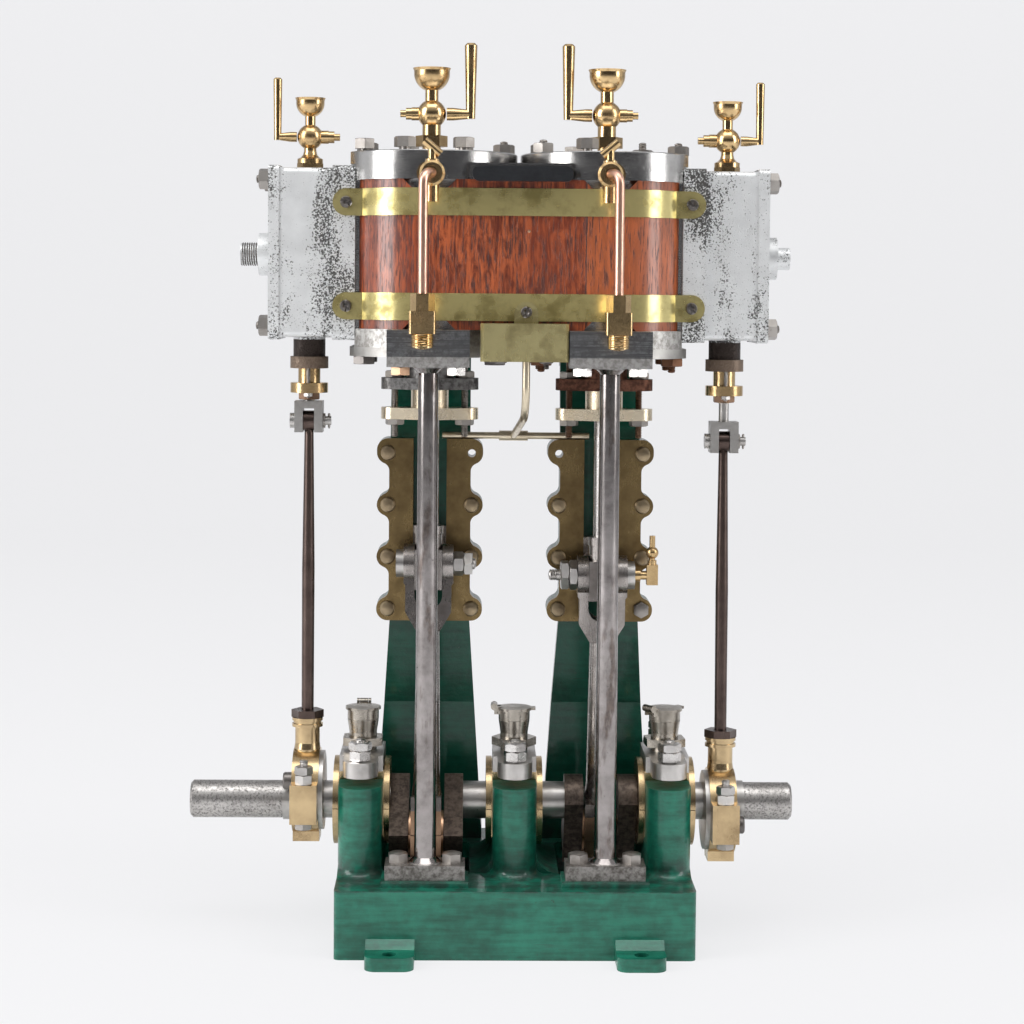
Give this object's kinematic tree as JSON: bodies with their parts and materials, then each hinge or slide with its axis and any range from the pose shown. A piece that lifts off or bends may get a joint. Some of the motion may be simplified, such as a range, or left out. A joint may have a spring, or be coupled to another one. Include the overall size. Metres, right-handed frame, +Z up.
{
  "type": "marine steam engine",
  "caption": "Model twin-cylinder vertical launch engine: green bed, open cranks, side eccentrics, wood-lagged cylinders and outboard valve chests.",
  "frame": {"origin": "centre of the bed's underside", "axes": "+X along the crankshaft to the viewer's right, +Y to the rear, +Z up through the cylinders"},
  "size_m": [0.2581, 0.142, 0.3781],
  "materials": {
    "bed_paint": "gloss enamel, worn at the edges",
    "standard_paint": "dark gloss enamel",
    "polished_steel": "polished and lightly oxidised",
    "machined_steel": "machined, grey and oily",
    "cast_iron": "grey, finely pitted",
    "brass": "bright, lightly tarnished",
    "dull_brass": "dull olive tarnish",
    "bronze": "brown oxidised bronze",
    "copper": "pinkish drawn copper",
    "mahogany": "varnished, fine upright grain",
    "blackened_steel": "blackened, soft edges",
    "nickel": "plated, lightly dulled"
  },
  "bodies": {
    "engine": {"bearing_caps": "machined_steel", "bedplate": "bed_paint", "big_end_brasses": "brass", "bottom_covers": "machined_steel", "crankshaft": "polished_steel", "crosshead_guides": "bronze", "crossheads": "bronze", "cylinder_block": "machined_steel", "cylinder_cocks": "brass", "drain_elbows": "brass", "drain_pipes": "copper", "eccentric_rods": "polished_steel", "eccentric_sheaves": "machined_steel", "eccentric_straps": "brass", "front_columns": "polished_steel", "lagging": "mahogany", "lagging_bands": "dull_brass", "left_chest_cover": "cast_iron", "left_chest_cup": "brass", "left_connecting_rod": "polished_steel", "left_cylinder_cup": "brass", "left_oiler": "nickel", "left_standard": "standard_paint", "left_valve_chest": "cast_iron", "main_bearing_brasses": "brass", "middle_oiler": "nickel", "oil_box": "brass", "oil_pipes": "copper", "piston_glands": "brass", "piston_rods": "polished_steel", "right_chest_cover": "cast_iron", "right_chest_cup": "brass", "right_connecting_rod": "polished_steel", "right_cylinder_cup": "brass", "right_oiler": "nickel", "right_standard": "standard_paint", "right_valve_chest": "cast_iron", "tie_bar": "blackened_steel", "top_covers": "polished_steel", "valve_glands": "brass", "valve_spindles": "machined_steel", "wrist_oiler": "brass", "wrist_pins": "machined_steel"},
    "left_chest_cup_lever": {"left_chest_cup_lever": "brass"},
    "left_cock_handle": {"left_cock_handle": "brass"},
    "left_cylinder_cup_lever": {"left_cylinder_cup_lever": "brass"},
    "left_oiler_lid": {"left_oiler_lid": "nickel"},
    "middle_oiler_lid": {"middle_oiler_lid": "nickel"},
    "right_chest_cup_lever": {"right_chest_cup_lever": "brass"},
    "right_cock_handle": {"right_cock_handle": "brass"},
    "right_cylinder_cup_lever": {"right_cylinder_cup_lever": "brass"},
    "right_oiler_lid": {"right_oiler_lid": "nickel"}
  },
  "joints": [
    {"name": "left_cylinder_cup_lever_turn", "type": "hinge", "parent": "engine", "child": "left_cylinder_cup_lever", "pos_m": [-0.03725, 0, 0.3481], "axis": [1, 0, 0], "range_deg": [0, 90]},
    {"name": "left_chest_cup_lever_turn", "type": "hinge", "parent": "engine", "child": "left_chest_cup_lever", "pos_m": [-0.0887, 0, 0.3378], "axis": [1, 0, 0], "range_deg": [0, 90]},
    {"name": "left_cock_handle_turn", "type": "hinge", "parent": "engine", "child": "left_cock_handle", "pos_m": [-0.03605, -0.04575, 0.3265], "axis": [0, 0, 1], "range_deg": [-90, 0]},
    {"name": "right_cylinder_cup_lever_turn", "type": "hinge", "parent": "engine", "child": "right_cylinder_cup_lever", "pos_m": [0.03725, 0, 0.3481], "axis": [1, 0, 0], "range_deg": [0, 90]},
    {"name": "right_chest_cup_lever_turn", "type": "hinge", "parent": "engine", "child": "right_chest_cup_lever", "pos_m": [0.0887, 0, 0.3378], "axis": [1, 0, 0], "range_deg": [0, 90]},
    {"name": "right_cock_handle_turn", "type": "hinge", "parent": "engine", "child": "right_cock_handle", "pos_m": [0.03605, -0.04575, 0.3265], "axis": [0, 0, 1], "range_deg": [0, 90]},
    {"name": "left_oiler_lid_hinge", "type": "hinge", "parent": "engine", "child": "left_oiler_lid", "pos_m": [-0.06495, 0.0086, 0.0949], "axis": [-1, 0, 0], "range_deg": [0, 100]},
    {"name": "middle_oiler_lid_hinge", "type": "hinge", "parent": "engine", "child": "middle_oiler_lid", "pos_m": [-0.0086, 0, 0.0949], "axis": [0, -1, 0], "range_deg": [0, 100]},
    {"name": "right_oiler_lid_hinge", "type": "hinge", "parent": "engine", "child": "right_oiler_lid", "pos_m": [0.0579, -0.00493, 0.0949], "axis": [0.5736, -0.8192, 0], "range_deg": [0, 100]}
  ]
}
